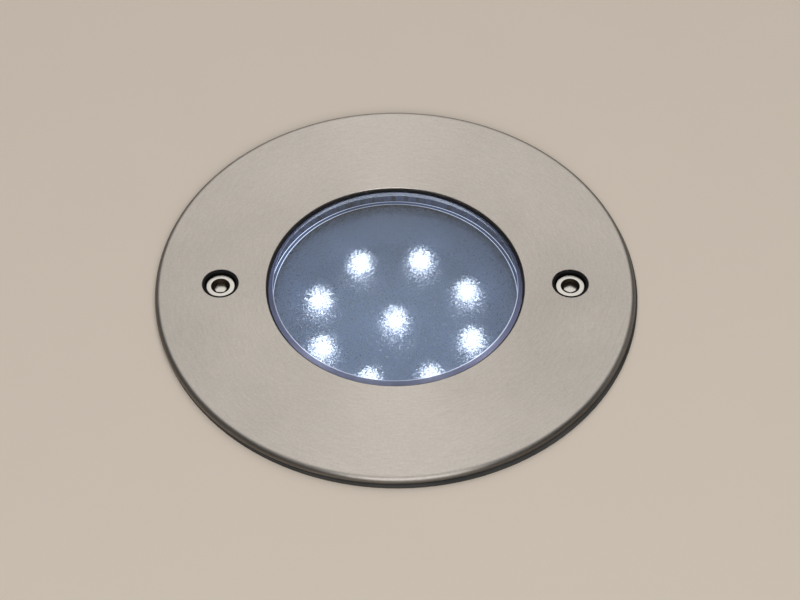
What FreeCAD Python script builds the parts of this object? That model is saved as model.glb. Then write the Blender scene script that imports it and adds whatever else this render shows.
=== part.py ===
import FreeCAD, Part

import math
import os

# In ground well light, millimetres. The origin is on the light's axis at ground level, the plane of the
# rim gasket's underside. +Z points up out of the ground and the two cover screws lie on the X axis.

# Faceplate: a turned stainless steel disc with a rounded rim, and studs welded to its underside
OPENING_RADIUS = 30.9
PLATE_THICKNESS = 1.5
PLATE_OVERHANG = 5.0
RIM_ROUNDING = 1.2
EDGE_CHAMFER = 0.2
STUD_RADIUS = 1.5
STUD_LENGTH = 6.3
STUD_COUNT = 4

# Rim gasket: a dark foam ring under the plate's rim, stuck on a little off centre
RIM_GASKET_THICKNESS = 1.0
RIM_GASKET_WIDTH = 4.4
RIM_GASKET_SHIFT = (0.4, -0.4)

# Cover screws: M4 socket head cap screws with a sealing washer each
SCREW_RADIUS = 2.0
SCREW_LENGTH = 10.0
SCREW_TIP_GAP = 1.0
HEAD_RADIUS = 3.5
HEAD_HEIGHT = 4.0
HEAD_BEVEL = 0.35
HEAD_SINK = 1.0
HEAD_GAP = 0.3
SOCKET_ACROSS_FLATS = 3.0
SOCKET_DEPTH = 2.0
SOCKET_MOUTH_RADIUS = 2.05
SOCKET_MOUTH_DEPTH = 0.3
WASHER_THICKNESS = 0.5
WASHER_GAP = 0.2

# Glass: a thick disc whose bevelled step comes up through the opening
LENS_THICKNESS = 8.0
LENS_SINK = 0.1
LENS_GAP = 0.5
LENS_BEVEL = 1.0
LENS_FLANGE_WIDTH = 2.9

# Glass gasket: a rubber ring of U section round the flange, with a thin upstand between glass and plate
GASKET_LIP = 1.0
GASKET_WALL = 1.4
GASKET_SLACK = 0.2
GASKET_OVERLAP = 0.5
GASKET_SIDE_GAP = 0.3
GASKET_UPSTAND = 0.3
GASKET_UPSTAND_SINK = 0.6

# Cover frame under the faceplate: its inner lip presses on the glass gasket, and a collar comes up
# through each screw hole. Nuts on the studs hold it to the plate.
FRAME_LIP = 2.6
FRAME_WEB = 2.5
FRAME_EDGE = 1.4
FRAME_COLLAR_WALL = 0.45
FRAME_COLLAR_SINK = 0.25
FRAME_SCREW_WALL = 2.4
NUT_ACROSS_FLATS = 5.5
NUT_THICKNESS = 2.4
NUT_POCKET_GAP = 0.5

# Housing: a cast aluminium pot, hung from its flange
NECK_MARGIN = 0.1
FLANGE_EDGE = 3.4
FLANGE_THICKNESS = 4.5
FLANGE_GAP = 0.4
REFLECTOR_LEDGE = 1.4
POT_WALL = 3.0
POT_FLOOR = 3.0
POT_DEPTH = 58.0
POT_CORNER = 4.0
BOSS_WALL = 1.65
BOSS_FLOOR = 2.0
FIN_COUNT = 12
FIN_THICKNESS = 2.0
FIN_REACH = 8.0
FIN_LENGTH = 36.0
POST_RADIUS = 3.6

# Brass thread inserts in the housing's bosses
INSERT_WALL = 1.05
INSERT_LENGTH = 6.0
INSERT_SINK = 0.3
INSERT_GROOVE = 0.4

# Lamps: 5 mm diodes, one in the middle and the rest in a ring
LED_RADIUS = 2.5
LED_COLLAR_RADIUS = 2.9
LED_COLLAR_HEIGHT = 1.0
LED_HEIGHT = 8.7
LED_DEPTH = 11.3
LED_RING_MARGIN = 5.7
LED_RING_COUNT = 8
LED_RING_START_DEG = 26.3
LED_PIN_WIDTH = 0.5
LED_PIN_SPACING = 2.54
LED_PIN_REACH = 1.4

# Reflector: the dish that the lamps stand in
REFLECTOR_WALL = 1.0
REFLECTOR_FLARE = 5.0
REFLECTOR_RIM = 1.2
REFLECTOR_RIM_DEPTH = 2.6
LED_EXPOSURE = 3.8

# Lamp board, its spacers and screws
BOARD_THICKNESS = 1.6
BOARD_MARGIN = 0.8
SPACER_ACROSS_FLATS = 5.5
SPACER_LENGTH = 14.0
SPACER_EDGE = 3.9
SPACER_COUNT = 3
SPACER_STUD_LENGTH = 6.0
BOARD_SCREW_RADIUS = 1.5
BOARD_SCREW_LENGTH = 6.0
BOARD_SCREW_HEAD_RADIUS = 2.75
BOARD_SCREW_HEAD_HEIGHT = 1.8

# Driver board's parts
CAPACITOR_RADIUS = 4.0
CAPACITOR_HEIGHT = 9.5
CAPACITOR_PLACE = (-9.0, 9.0)
INDUCTOR_RADIUS = 5.0
INDUCTOR_WAIST = 3.8
INDUCTOR_HEIGHT = 6.5
INDUCTOR_PLACE = (10.0, 8.5)
RECTIFIER_SIZE = (8.2, 6.4, 3.2)
RECTIFIER_PLACE = (-12.0, -8.0)
RESISTOR_RADIUS = 1.2
RESISTOR_LENGTH = 6.3
RESISTOR_PITCH = 4.0
RESISTOR_COUNT = 3
RESISTOR_PLACE = (10.0, -10.0)
LINK_SIZE = (5.0, 2.5, 2.5)
LINK_PIN_WIDTH = 0.64
LINK_MARGIN = 6.9
TERMINAL_SIZE = (10.0, 8.0, 10.0)
TERMINAL_MOUTH = (3.0, 6.8)
TERMINAL_PITCH = 5.0
TERMINAL_NUT_GAP = 0.45
TERMINAL_SCREW_RADIUS = 1.4
TERMINAL_SCREW_HEIGHT = 1.0

# Cable gland, 16 mm thread, in the pot's floor
GLAND_THREAD_RADIUS = 8.0
GLAND_BORE_RADIUS = 5.0
GLAND_ACROSS_FLATS = 20.0
GLAND_HEX_HEIGHT = 5.0
GLAND_NECK_RADIUS = 7.4
GLAND_NECK_LENGTH = 9.0
GLAND_MOUTH_RADIUS = 5.9
GLAND_WASHER_THICKNESS = 1.0
LOCKNUT_ACROSS_FLATS = 20.0
LOCKNUT_THICKNESS = 3.0
SEAL_BORE_RADIUS = 3.25
SEAL_LENGTH = 8.0
SEAL_LIP = 1.0
CAP_WALL = 1.3
CAP_HEX_HEIGHT = 7.0
CAP_MOUTH_RADIUS = 4.6

# Flange gasket, and the sleeve set in the ground, with a separate collar pushed on its top
FLANGE_GASKET_THICKNESS = 1.0
COLLAR_WALL = 2.5
COLLAR_HEIGHT = 16.0
SHOULDER_THICKNESS = 2.0
SLEEVE_WALL = 2.0
SLEEVE_DEPTH = 98.0
SLEEVE_TAPER = 2.0
SLEEVE_FLOOR = 2.5
SLEEVE_OUTLET_RADIUS = 24.0
SLEEVE_RIB_COUNT = 8
SLEEVE_RIB_THICKNESS = 2.2
SLEEVE_RIB_REACH = 2.2
SLEEVE_RIB_GAP = 4.0
KNOCKOUT_RADIUS = 10.0
KNOCKOUT_GROOVE = 1.5
KNOCKOUT_SKIN = 1.0
KNOCKOUT_HEIGHT = 18.0

# Clearances used in more than one place
RUNNING_FIT = 0.05
UPSTAND_FIT = 0.1
LOOSE_FIT = 0.3

# Levels worked out from the sizes above, from the top down
plate_bottom = RIM_GASKET_THICKNESS
plate_top = plate_bottom + PLATE_THICKNESS
lens_top = plate_top - LENS_SINK
lens_bottom = lens_top - LENS_THICKNESS
frame_lip_bottom = plate_bottom - FRAME_LIP
lens_flange_top = frame_lip_bottom - GASKET_LIP
seat_level = lens_bottom - GASKET_LIP
head_top = plate_top - HEAD_SINK
head_bottom = head_top - HEAD_HEIGHT
screw_tip = head_bottom - SCREW_LENGTH
washer_bottom = head_bottom - WASHER_THICKNESS
flange_top = washer_bottom - FRAME_WEB
stud_tip = plate_bottom - STUD_LENGTH
flange_bottom = flange_top - FLANGE_THICKNESS
ledge_level = flange_bottom - FLANGE_GASKET_THICKNESS
led_top = -LED_DEPTH
board_top = led_top - LED_HEIGHT
board_bottom = board_top - BOARD_THICKNESS
driver_top = board_bottom - SPACER_LENGTH
driver_bottom = driver_top - BOARD_THICKNESS
reflector_floor = led_top - LED_EXPOSURE
reflector_rim = seat_level - REFLECTOR_RIM_DEPTH
pot_bottom = -POT_DEPTH
pot_floor = pot_bottom + POT_FLOOR
gland_washer_bottom = pot_bottom - GLAND_WASHER_THICKNESS
gland_hex_bottom = gland_washer_bottom - GLAND_HEX_HEIGHT
gland_neck_bottom = gland_hex_bottom - GLAND_NECK_LENGTH
collar_bottom = -COLLAR_HEIGHT
sleeve_bottom = -SLEEVE_DEPTH

# Radii worked out from the sizes above, from the opening outwards
lens_step_radius = OPENING_RADIUS - LENS_GAP
lens_top_radius = lens_step_radius - LENS_BEVEL
lens_flange_radius = lens_step_radius + LENS_FLANGE_WIDTH
gasket_radius = lens_flange_radius + GASKET_SLACK + GASKET_WALL
gasket_lip_radius = lens_step_radius - GASKET_OVERLAP
upstand_radius = OPENING_RADIUS - UPSTAND_FIT
frame_bore = gasket_radius + GASKET_SIDE_GAP
head_seat_radius = HEAD_RADIUS + HEAD_GAP
frame_collar_radius = head_seat_radius + FRAME_COLLAR_WALL
screw_hole_radius = frame_collar_radius + RUNNING_FIT
screw_offset = frame_bore + FRAME_SCREW_WALL + screw_hole_radius
frame_radius = screw_offset + screw_hole_radius + FRAME_EDGE
flange_radius = screw_offset + screw_hole_radius + FLANGE_EDGE
collar_bore = flange_radius + FLANGE_GAP
collar_radius = collar_bore + COLLAR_WALL
plate_radius = collar_radius + PLATE_OVERHANG
sleeve_top_radius = collar_bore - LOOSE_FIT
ledge_radius = sleeve_top_radius - SLEEVE_WALL
stud_circle_radius = (frame_bore + frame_radius) / 2

# Radii inside the pot
neck_radius = OPENING_RADIUS + NECK_MARGIN
pot_bore = neck_radius - REFLECTOR_LEDGE
pot_radius = pot_bore + POT_WALL
board_radius = pot_bore - BOARD_MARGIN
reflector_radius = neck_radius - LOOSE_FIT
reflector_wall_radius = reflector_radius - REFLECTOR_RIM
reflector_floor_radius = reflector_wall_radius - REFLECTOR_FLARE
led_ring_radius = reflector_floor_radius - LED_RING_MARGIN
spacer_circle_radius = board_radius - SPACER_EDGE
spacer_bore = BOARD_SCREW_RADIUS + RUNNING_FIT
insert_bore = SCREW_RADIUS + RUNNING_FIT
insert_radius = insert_bore + INSERT_WALL
boss_radius = insert_radius + BOSS_WALL
gland_hole_radius = GLAND_THREAD_RADIUS + LOOSE_FIT
terminal_y = -(LOCKNUT_ACROSS_FLATS / math.sqrt(3) + TERMINAL_NUT_GAP + TERMINAL_SIZE[1] / 2)


def at(x, y, z):
    return FreeCAD.Vector(x, y, z)


UP = at(0, 0, 1)


def rod(radius, bottom, top, x=0.0, y=0.0):
    """An upright cylinder between two levels."""
    return Part.makeCylinder(radius, top - bottom, at(x, y, bottom))


def tube(outer, inner, bottom, top, x=0.0, y=0.0):
    return rod(outer, bottom, top, x, y).cut(rod(inner, bottom, top, x, y))


def block(size_x, size_y, bottom, top, x=0.0, y=0.0):
    """A box centred on x, y between two levels."""
    corner = at(x - size_x / 2, y - size_y / 2, bottom)
    return Part.makeBox(size_x, size_y, top - bottom, corner)


def hexagon(across_flats, bottom, top, x=0.0, y=0.0, turn_deg=0.0):
    """An upright six-sided bar, its first corner turned by turn_deg from +X."""
    corner_radius = across_flats / math.sqrt(3)
    corners = []
    for k in range(7):
        angle = math.radians(turn_deg + 60 * k)
        corners.append(at(x + corner_radius * math.cos(angle), y + corner_radius * math.sin(angle), bottom))
    face = Part.Face(Part.makePolygon(corners))
    return face.extrude(at(0, 0, top - bottom))


def turned(*profile):
    """A solid turned about the Z axis from (radius, level) points."""
    points = [at(radius, 0, level) for radius, level in profile]
    face = Part.Face(Part.makePolygon(points + [points[0]]))
    return face.revolve(at(0, 0, 0), UP, 360)


def circle_places(count, radius, start_deg):
    """The x, y places of count points spaced evenly round a circle."""
    places = []
    for k in range(count):
        angle = math.radians(start_deg + 360 * k / count)
        places.append((radius * math.cos(angle), radius * math.sin(angle)))
    return places


def fused(first, others):
    return first.multiFuse(others).removeSplitter() if others else first


def edges_at(shape, level, radius):
    """The round edges of the given radius that lie in the plane at the given level."""
    found = []
    for edge in shape.Edges:
        is_circle = isinstance(edge.Curve, Part.Circle)
        if is_circle and abs(edge.Curve.Radius - radius) < 1e-4 and abs(edge.Curve.Center.z - level) < 1e-4:
            found.append(edge)
    return found


def export(node, solids):
    """Writes one piece, or several like pieces that share a name, to its own file."""
    shape = solids[0] if len(solids) == 1 else Part.makeCompound(solids)
    shape.exportStep(f"parts/{node}.step")


screw_places = {"left": (-screw_offset, 0.0), "right": (screw_offset, 0.0)}
stud_places = circle_places(STUD_COUNT, stud_circle_radius, 45)
led_places = [(0.0, 0.0)] + circle_places(LED_RING_COUNT, led_ring_radius, LED_RING_START_DEG)

# The spacers stand in gaps between the ring's lamps
led_step_deg = 360 / LED_RING_COUNT
spacer_start_deg = LED_RING_START_DEG + led_step_deg / 2
spacer_places = []
for k in range(SPACER_COUNT):
    steps_round = round(k * LED_RING_COUNT / SPACER_COUNT)
    angle = math.radians(spacer_start_deg + steps_round * led_step_deg)
    spacer_places.append((spacer_circle_radius * math.cos(angle), spacer_circle_radius * math.sin(angle)))


def make_faceplate():
    """The disc, with its rounded rim, chamfered opening and screw holes, and its welded studs."""
    disc = tube(plate_radius, OPENING_RADIUS, plate_bottom, plate_top)
    for x, y in screw_places.values():
        disc = disc.cut(rod(screw_hole_radius, plate_bottom, plate_top, x, y))
    disc = disc.makeFillet(RIM_ROUNDING, edges_at(disc, plate_top, plate_radius))
    mouths = edges_at(disc, plate_top, OPENING_RADIUS) + edges_at(disc, plate_top, screw_hole_radius)
    disc = disc.makeChamfer(EDGE_CHAMFER, mouths)
    return fused(disc, [rod(STUD_RADIUS, stud_tip, plate_bottom, x, y) for x, y in stud_places])


def make_rim_gasket():
    """The foam ring between the plate's rim and the ground."""
    shift_x, shift_y = RIM_GASKET_SHIFT
    return tube(plate_radius, plate_radius - RIM_GASKET_WIDTH, 0, plate_bottom, shift_x, shift_y)


def make_cover_frame():
    """The ring under the faceplate, with a collared seat for each screw head and a pocket for each nut."""
    ring = turned(
        (OPENING_RADIUS, plate_bottom),
        (frame_radius, plate_bottom),
        (frame_radius, flange_top),
        (frame_bore, flange_top),
        (frame_bore, frame_lip_bottom),
        (OPENING_RADIUS, frame_lip_bottom),
    )
    collars = []
    for x, y in screw_places.values():
        collars.append(rod(frame_collar_radius, plate_bottom - 1, plate_top - FRAME_COLLAR_SINK, x, y))
    ring = fused(ring, collars)
    for x, y in screw_places.values():
        ring = ring.cut(rod(head_seat_radius, washer_bottom, plate_top, x, y))
        ring = ring.cut(rod(SCREW_RADIUS + LOOSE_FIT, flange_top, washer_bottom, x, y))
    pocket_radius = NUT_ACROSS_FLATS / math.sqrt(3) + NUT_POCKET_GAP
    for x, y in stud_places:
        ring = ring.cut(rod(STUD_RADIUS + LOOSE_FIT, flange_top, plate_bottom, x, y))
        ring = ring.cut(rod(pocket_radius, flange_top, stud_tip + NUT_THICKNESS, x, y))
    return ring


def make_frame_nuts():
    nuts = []
    for x, y in stud_places:
        nut = hexagon(NUT_ACROSS_FLATS, stud_tip, stud_tip + NUT_THICKNESS, x, y)
        nuts.append(nut.cut(rod(STUD_RADIUS, stud_tip, stud_tip + NUT_THICKNESS, x, y)))
    return nuts


def make_lens():
    """The glass: flange, step and bevel, turned in one."""
    return turned(
        (0, lens_bottom),
        (lens_flange_radius, lens_bottom),
        (lens_flange_radius, lens_flange_top),
        (lens_step_radius, lens_flange_top),
        (lens_step_radius, lens_top - LENS_BEVEL),
        (lens_top_radius, lens_top),
        (0, lens_top),
    )


def make_lens_gasket():
    """The U section ring, its lips on and under the glass flange, and its upstand through the opening."""
    inner_wall = gasket_radius - GASKET_WALL
    return turned(
        (gasket_lip_radius, seat_level),
        (gasket_radius, seat_level),
        (gasket_radius, frame_lip_bottom),
        (upstand_radius, frame_lip_bottom),
        (upstand_radius, plate_top - GASKET_UPSTAND_SINK),
        (upstand_radius - GASKET_UPSTAND, plate_top - GASKET_UPSTAND_SINK),
        (upstand_radius - GASKET_UPSTAND, lens_flange_top),
        (inner_wall, lens_flange_top),
        (inner_wall, lens_bottom),
        (gasket_lip_radius, lens_bottom),
    )


def make_screw(side, socket_turn_deg):
    """A cap screw with a bevelled head and a hexagon socket under a round mouth."""
    x, y = screw_places[side]
    head = rod(HEAD_RADIUS, head_bottom, head_top, x, y)
    head = head.makeChamfer(HEAD_BEVEL, edges_at(head, head_top, HEAD_RADIUS))
    socket_bottom = head_top - SOCKET_DEPTH
    head = head.cut(hexagon(SOCKET_ACROSS_FLATS, socket_bottom, head_top, x, y, socket_turn_deg))
    head = head.cut(rod(SOCKET_MOUTH_RADIUS, head_top - SOCKET_MOUTH_DEPTH, head_top, x, y))
    return fused(head, [rod(SCREW_RADIUS, head_bottom - SCREW_LENGTH, head_bottom, x, y)])


def make_washer(side):
    x, y = screw_places[side]
    outer = head_seat_radius - WASHER_GAP
    return tube(outer, SCREW_RADIUS + RUNNING_FIT, washer_bottom, head_bottom, x, y)


def make_insert(side):
    """A brass bush with a grip groove round its middle."""
    x, y = screw_places[side]
    top = flange_top - INSERT_SINK
    bottom = top - INSERT_LENGTH
    middle = (top + bottom) / 2
    bush = tube(insert_radius, insert_bore, bottom, top, x, y)
    groove = tube(insert_radius, insert_radius - INSERT_GROOVE, middle - 1, middle + 1, x, y)
    return bush.cut(groove)


def make_housing():
    """The pot and its recessed flange, with screw bosses, cooling fins, board posts and gland hole."""
    body = turned(
        (0, pot_bottom),
        (pot_radius - POT_CORNER, pot_bottom),
        (pot_radius, pot_bottom + POT_CORNER),
        (pot_radius, flange_bottom),
        (flange_radius, flange_bottom),
        (flange_radius, flange_top),
        (frame_bore, flange_top),
        (frame_bore, seat_level),
        (neck_radius, seat_level),
        (neck_radius, reflector_rim - REFLECTOR_WALL),
        (pot_bore, reflector_rim - REFLECTOR_WALL),
        (pot_bore, pot_floor),
        (0, pot_floor),
    )
    insert_bottom = flange_top - INSERT_SINK - INSERT_LENGTH
    tip_pocket_bottom = screw_tip - SCREW_TIP_GAP
    boss_bottom = min(insert_bottom, tip_pocket_bottom) - BOSS_FLOOR
    inside_sleeve = rod(ledge_radius - LOOSE_FIT, boss_bottom, flange_bottom + 1)
    additions = []
    for x, y in screw_places.values():
        additions.append(rod(boss_radius, boss_bottom, flange_bottom + 1, x, y).common(inside_sleeve))
        reach = screw_offset - pot_radius + 1
        web_x = math.copysign(pot_radius - 1 + reach / 2, x)
        additions.append(block(reach, FIN_THICKNESS, boss_bottom, flange_bottom + 1, web_x, 0))
    for k in range(FIN_COUNT):
        turn = 360 * k / FIN_COUNT
        if k in (0, FIN_COUNT // 2):
            continue
        root = pot_radius - 1
        fin_bottom = flange_bottom - FIN_LENGTH
        profile = [
            at(root, -FIN_THICKNESS / 2, flange_bottom + 1),
            at(pot_radius + FIN_REACH, -FIN_THICKNESS / 2, flange_bottom + 1),
            at(pot_radius + FIN_REACH, -FIN_THICKNESS / 2, fin_bottom + FIN_REACH),
            at(pot_radius, -FIN_THICKNESS / 2, fin_bottom),
            at(root, -FIN_THICKNESS / 2, fin_bottom),
        ]
        fin = Part.Face(Part.makePolygon(profile + [profile[0]])).extrude(at(0, FIN_THICKNESS, 0))
        fin.rotate(at(0, 0, 0), UP, turn)
        additions.append(fin)
    post_shafts = [rod(POST_RADIUS, pot_floor - 1, driver_bottom, x, y) for x, y in spacer_places]
    inside = rod(pot_bore + 1, pot_floor - 1, driver_bottom)
    additions += [shaft.common(inside) for shaft in post_shafts]
    body = fused(body, additions)
    for x, y in screw_places.values():
        body = body.cut(rod(insert_radius, insert_bottom, flange_top, x, y))
        body = body.cut(rod(SCREW_RADIUS + LOOSE_FIT, tip_pocket_bottom, insert_bottom, x, y))
    for x, y in spacer_places:
        body = body.cut(rod(spacer_bore, driver_bottom - SPACER_STUD_LENGTH, driver_bottom, x, y))
    return body.cut(rod(gland_hole_radius, pot_bottom, pot_floor))


def make_reflector():
    """The dish: its rim rests on the pot's ledge, and each lamp comes up through a hole in its floor."""
    dish = turned(
        (0, reflector_floor - REFLECTOR_WALL),
        (reflector_floor_radius, reflector_floor - REFLECTOR_WALL),
        (reflector_wall_radius, reflector_rim - REFLECTOR_WALL),
        (reflector_radius, reflector_rim - REFLECTOR_WALL),
        (reflector_radius, reflector_rim),
        (reflector_wall_radius - REFLECTOR_WALL, reflector_rim),
        (reflector_floor_radius - REFLECTOR_WALL, reflector_floor),
        (0, reflector_floor),
    )
    for x, y in led_places:
        dish = dish.cut(rod(LED_RADIUS + LOOSE_FIT, reflector_floor - REFLECTOR_WALL, reflector_floor, x, y))
    return dish


def make_led(x, y):
    """A domed lamp with its collar and two pins."""
    body = rod(LED_RADIUS, board_top, led_top - LED_RADIUS, x, y)
    dome = Part.makeSphere(LED_RADIUS, at(x, y, led_top - LED_RADIUS), UP, 0, 90, 360)
    collar = rod(LED_COLLAR_RADIUS, board_top, board_top + LED_COLLAR_HEIGHT, x, y)
    pins = []
    pin_foot = board_bottom - LED_PIN_REACH
    for side in (-1, 1):
        pin_x = x + side * LED_PIN_SPACING / 2
        pins.append(block(LED_PIN_WIDTH, LED_PIN_WIDTH, pin_foot, board_top + 0.5, pin_x, y))
    return fused(body, [dome, collar] + pins)


def drilled_board(bottom, top, holes):
    board = rod(board_radius, bottom, top)
    for x, y, radius in holes:
        board = board.cut(rod(radius, bottom, top, x, y))
    return board


def make_led_board():
    pin_hole = LED_PIN_WIDTH / math.sqrt(2) + RUNNING_FIT
    holes = [(x, y, BOARD_SCREW_RADIUS + LOOSE_FIT) for x, y in spacer_places]
    for x, y in led_places:
        holes += [(x - LED_PIN_SPACING / 2, y, pin_hole), (x + LED_PIN_SPACING / 2, y, pin_hole)]
    return drilled_board(board_bottom, board_top, holes)


def make_driver_board():
    holes = [(x, y, BOARD_SCREW_RADIUS + LOOSE_FIT) for x, y in spacer_places]
    return drilled_board(driver_bottom, driver_top, holes)


def make_board_spacers():
    """Hexagonal brass spacers, each with a stud below and a thread hole above."""
    spacers = []
    for x, y in spacer_places:
        bar = hexagon(SPACER_ACROSS_FLATS, driver_top, board_bottom, x, y)
        bar = bar.cut(rod(spacer_bore, board_bottom - BOARD_SCREW_LENGTH, board_bottom, x, y))
        stud_bottom = driver_bottom - SPACER_STUD_LENGTH + LOOSE_FIT
        spacers.append(fused(bar, [rod(BOARD_SCREW_RADIUS, stud_bottom, driver_top, x, y)]))
    return spacers


def make_board_screws():
    screws = []
    for x, y in spacer_places:
        head = rod(BOARD_SCREW_HEAD_RADIUS, board_top, board_top + BOARD_SCREW_HEAD_HEIGHT, x, y)
        shank_bottom = board_bottom - BOARD_SCREW_LENGTH + LOOSE_FIT
        screws.append(fused(head, [rod(BOARD_SCREW_RADIUS, shank_bottom, board_top, x, y)]))
    return screws


def make_capacitor():
    x, y = CAPACITOR_PLACE
    return rod(CAPACITOR_RADIUS, driver_top, driver_top + CAPACITOR_HEIGHT, x, y)


def make_inductor():
    """A drum core with a waist for its winding."""
    x, y = INDUCTOR_PLACE
    lip = INDUCTOR_HEIGHT / 6
    drum = rod(INDUCTOR_RADIUS, driver_top, driver_top + INDUCTOR_HEIGHT, x, y)
    waist = tube(INDUCTOR_RADIUS, INDUCTOR_WAIST, driver_top + lip, driver_top + INDUCTOR_HEIGHT - lip, x, y)
    return drum.cut(waist)


def make_rectifier():
    size_x, size_y, height = RECTIFIER_SIZE
    return block(size_x, size_y, driver_top, driver_top + height, *RECTIFIER_PLACE)


def make_resistors():
    """Small wire-ended resistors that lie on the driver board."""
    x, y = RESISTOR_PLACE
    bodies = []
    for k in range(RESISTOR_COUNT):
        place = at(x - RESISTOR_LENGTH / 2, y + k * RESISTOR_PITCH, driver_top + RESISTOR_RADIUS)
        bodies.append(Part.makeCylinder(RESISTOR_RADIUS, RESISTOR_LENGTH, place, at(1, 0, 0)))
    return bodies


def make_board_link():
    """The pin header that joins the two boards."""
    x, y = 0.0, LINK_MARGIN - spacer_circle_radius
    size_x, size_y, height = LINK_SIZE
    base = block(size_x, size_y, driver_top, driver_top + height, x, y)
    pins = []
    for side in (-1, 1):
        pin_x = x + side * LED_PIN_SPACING / 2
        pins.append(block(LINK_PIN_WIDTH, LINK_PIN_WIDTH, driver_top, board_bottom, pin_x, y))
    return fused(base, pins)


def make_terminal_block():
    """The two-way terminal under the driver board, beside the gland's locknut and open downwards."""
    size_x, size_y, height = TERMINAL_SIZE
    mouth_width, mouth_depth = TERMINAL_MOUTH
    bottom = driver_bottom - height
    body = block(size_x, size_y, bottom, driver_bottom, 0, terminal_y)
    for side in (-1, 1):
        mouth_x = side * TERMINAL_PITCH / 2
        body = body.cut(block(mouth_width, mouth_width, bottom, bottom + mouth_depth, mouth_x, terminal_y))
    return body


def make_terminal_screws():
    """Clamp screw heads that stand on the terminal's face."""
    size_x, size_y, height = TERMINAL_SIZE
    level = driver_bottom - height / 2
    heads = []
    for side in (-1, 1):
        place = at(side * TERMINAL_PITCH / 2, terminal_y + size_y / 2, level)
        heads.append(Part.makeCylinder(TERMINAL_SCREW_RADIUS, TERMINAL_SCREW_HEIGHT, place, at(0, 1, 0)))
    return heads


def make_gland_body():
    """Thread up through the pot's floor, hexagon outside, and a neck below with a tapered mouth."""
    locknut_top = pot_floor + LOCKNUT_THICKNESS
    barrel = rod(GLAND_THREAD_RADIUS, gland_washer_bottom, locknut_top + 1)
    hex_bar = hexagon(GLAND_ACROSS_FLATS, gland_hex_bottom, gland_washer_bottom)
    neck = rod(GLAND_NECK_RADIUS, gland_neck_bottom, gland_hex_bottom)
    body = fused(barrel, [hex_bar, neck])
    body = body.cut(rod(GLAND_BORE_RADIUS, gland_neck_bottom, locknut_top + 1))
    seal_top = gland_neck_bottom + SEAL_LENGTH - SEAL_LIP
    return body.cut(rod(GLAND_MOUTH_RADIUS, gland_neck_bottom, seal_top))


def make_gland_washer():
    return tube(GLAND_ACROSS_FLATS / 2, gland_hole_radius, gland_washer_bottom, pot_bottom)


def make_gland_locknut():
    nut = hexagon(LOCKNUT_ACROSS_FLATS, pot_floor, pot_floor + LOCKNUT_THICKNESS)
    return nut.cut(rod(GLAND_THREAD_RADIUS, pot_floor, pot_floor + LOCKNUT_THICKNESS))


def make_gland_seal():
    """The rubber bush in the gland's mouth, with a lip under the neck's end."""
    seal_top = gland_neck_bottom + SEAL_LENGTH - SEAL_LIP
    seal_bottom = gland_neck_bottom - SEAL_LIP
    bush = rod(GLAND_MOUTH_RADIUS, seal_bottom, seal_top)
    bush = fused(bush, [rod(GLAND_NECK_RADIUS, seal_bottom, gland_neck_bottom)])
    return bush.cut(rod(SEAL_BORE_RADIUS, seal_bottom, seal_top))


def make_gland_cap():
    """The domed nut that presses the seal into the gland's mouth."""
    inner = GLAND_NECK_RADIUS
    outer = inner + CAP_WALL
    top = gland_hex_bottom - LOOSE_FIT
    seal_bottom = gland_neck_bottom - SEAL_LIP
    bottom = seal_bottom - 2 * CAP_WALL
    shell = turned(
        (0, bottom),
        (CAP_MOUTH_RADIUS + CAP_WALL, bottom),
        (outer, seal_bottom + CAP_WALL),
        (outer, top),
        (0, top),
    )
    shell = fused(shell, [hexagon(GLAND_ACROSS_FLATS, top - CAP_HEX_HEIGHT, top)])
    shell = shell.cut(rod(inner, seal_bottom, top))
    return shell.cut(rod(CAP_MOUTH_RADIUS, bottom, seal_bottom))


def make_flange_gasket():
    return tube(flange_radius, ledge_radius, ledge_level, flange_bottom)


def make_sleeve_collar():
    return tube(collar_radius, collar_bore, collar_bottom, 0)


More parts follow.
